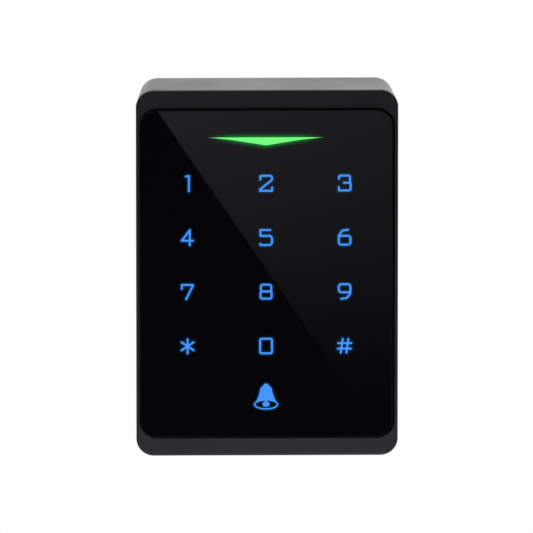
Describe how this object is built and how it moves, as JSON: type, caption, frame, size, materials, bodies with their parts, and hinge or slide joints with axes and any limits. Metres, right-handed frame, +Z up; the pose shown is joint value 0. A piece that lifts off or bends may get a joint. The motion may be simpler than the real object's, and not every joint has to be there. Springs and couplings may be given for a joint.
{
  "type": "keypad access reader",
  "caption": "Slim wall-mounted touch keypad and card reader with backlit keys, a status light and a tilt-off wall plate.",
  "frame": {"origin": "middle of the wall screw pattern, on the back face of the mounting plate, in the wall plane", "axes": "+X to the right as the user faces the keypad, +Y into the wall, +Z up; the touch panel faces -Y"},
  "size_m": [0.086, 0.0235, 0.1236],
  "materials": {
    "plate_steel": "galvanised sheet",
    "housing_plastic": "fine satin grain",
    "panel_gloss": "hard-coated gloss",
    "legend_blue": "backlit translucent",
    "light_green": "backlit translucent",
    "adhesive_tape": "foam tape",
    "diffuser_film": "frosted film",
    "guide_clear": "clear",
    "shield_plastic": "matt",
    "board_laminate": "solder mask",
    "lamp_resin": "moulded",
    "chip_epoxy": "moulded epoxy",
    "coil_copper": "enamelled winding",
    "buzzer_plastic": "moulded",
    "relay_plastic": "moulded",
    "can_aluminium": "drawn can",
    "can_steel": "drawn can",
    "socket_nylon": "natural nylon",
    "pin_brass": "tinned",
    "seal_rubber": "moulded silicone",
    "screw_zinc": "zinc plated",
    "screw_stainless": "stainless",
    "switch_plastic": "moulded",
    "plunger_plastic": "acetal",
    "spring_steel": "music wire"
  },
  "bodies": {
    "wall_plate": {"mounting_plate": "plate_steel"},
    "reader": {"antenna_coil": "coil_copper", "board_screws": "screw_zinc", "buzzer": "buzzer_plastic", "captive_nut": "screw_zinc", "card_reader_chip": "chip_epoxy", "case_gasket": "seal_rubber", "case_screws": "screw_zinc", "crystal": "can_steel", "front_housing": "housing_plastic", "harness_pins": "pin_brass", "harness_socket": "socket_nylon", "key_diffuser": "diffuser_film", "key_lamps": "lamp_resin", "key_legend_0": "legend_blue", "key_legend_1": "legend_blue", "key_legend_2": "legend_blue", "key_legend_3": "legend_blue", "key_legend_4": "legend_blue", "key_legend_5": "legend_blue", "key_legend_6": "legend_blue", "key_legend_7": "legend_blue", "key_legend_8": "legend_blue", "key_legend_9": "legend_blue", "key_legend_bell": "legend_blue", "key_legend_hash": "legend_blue", "key_legend_star": "legend_blue", "light_shield": "shield_plastic", "main_board": "board_laminate", "microcontroller": "chip_epoxy", "panel_adhesive": "adhesive_tape", "power_capacitors": "can_aluminium", "rear_cover": "housing_plastic", "regulator": "chip_epoxy", "relay": "relay_plastic", "socket_seal": "seal_rubber", "status_lamps": "lamp_resin", "status_light_guide": "guide_clear", "status_light_window": "light_green", "tamper_spring": "spring_steel", "tamper_switch": "switch_plastic", "touch_controller": "chip_epoxy", "touch_panel": "panel_gloss"},
    "plunger": {"tamper_plunger": "plunger_plastic"},
    "clamp_washer": {"screw_washer": "screw_stainless"},
    "clamp_screw": {"security_screw": "screw_stainless"}
  },
  "joints": [
    {"name": "tilt_off", "type": "hinge", "parent": "wall_plate", "child": "reader", "pos_m": [0, -0.0028, 0.0566], "axis": [-1, 0, 0], "range_deg": [0, 11]},
    {"name": "tamper_plunger_slide", "type": "slide", "parent": "reader", "child": "plunger", "axis": [0, 1, 0], "range_m": [0, 0.0015], "deforming": ["tamper_spring"]},
    {"name": "clamp_screw_travel", "type": "slide", "parent": "reader", "child": "clamp_washer", "axis": [0, 0, -1], "range_m": [0, 0.001]},
    {"name": "clamp_screw_turn", "type": "hinge", "parent": "clamp_washer", "child": "clamp_screw", "pos_m": [0, -0.005, -0.0588], "axis": [0, 0, -1], "range_deg": [0, 720]}
  ],
  "couplings": [
    {"joint": "tamper_plunger_slide", "follows": "tilt_off", "m_per_rad": 0.0078123},
    {"joint": "clamp_screw_turn", "follows": "clamp_screw_travel", "rad_per_m": 12566}
  ]
}
